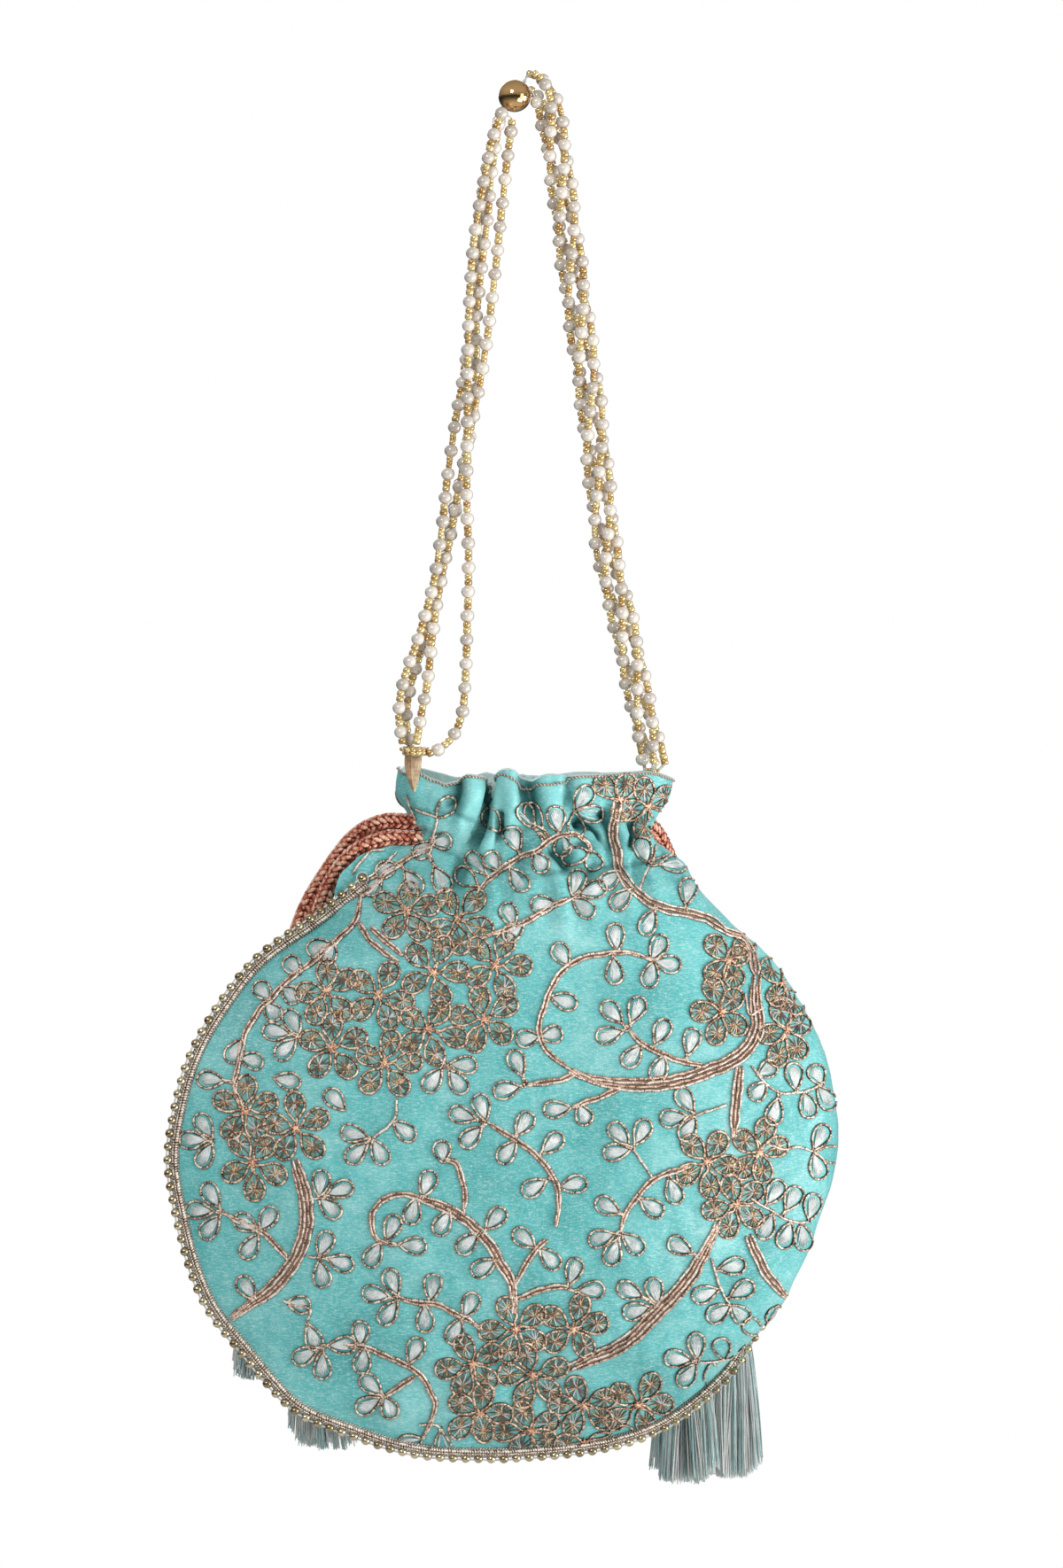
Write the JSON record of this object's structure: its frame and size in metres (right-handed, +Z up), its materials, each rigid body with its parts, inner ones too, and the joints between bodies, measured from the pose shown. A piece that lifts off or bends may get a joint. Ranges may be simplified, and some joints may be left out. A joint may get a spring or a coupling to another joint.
{
  "type": "drawstring reticule",
  "caption": "Round satin drawstring reticule with a gathered neck, beaded edge, corded drawstring ends with tassels, and a pearl strand handle.",
  "frame": {"origin": "the point where the strand handle hangs over its support, just under the large bead at the top", "axes": "+Z up along the hanging bag, +X across its width towards the side of the right-hand strand bundle, and the richer embroidered front faces -Y"},
  "size_m": [0.2127, 0.0762, 0.4354],
  "materials": {
    "satin": "satin",
    "trim_tape": "matte",
    "trim_metal": "polished",
    "pearl": "gloss",
    "gold": "polished",
    "thread": "satin",
    "cord_yarn": "satin",
    "tassel_yarn": "satin"
  },
  "bodies": {
    "root": {"front_panel": "satin", "back_panel": "satin", "edge_tape": "trim_tape", "edge_beads": "trim_metal", "strand_left_1": "pearl", "strand_left_2": "pearl", "strand_left_3": "pearl", "strand_left_4": "pearl", "strand_right_1": "pearl", "strand_right_2": "pearl", "strand_right_3": "pearl", "strand_right_4": "pearl", "gold_bead": "gold", "top_thread": "thread", "thread_tab_left": "thread", "thread_tab_right": "thread", "cord_left_1": "cord_yarn", "cord_left_2": "cord_yarn", "cord_right_1": "cord_yarn", "cord_right_2": "cord_yarn", "tassel_left_1": "tassel_yarn", "tassel_left_2": "tassel_yarn", "tassel_right_1": "tassel_yarn", "tassel_right_2": "tassel_yarn"}
  },
  "joints": []
}
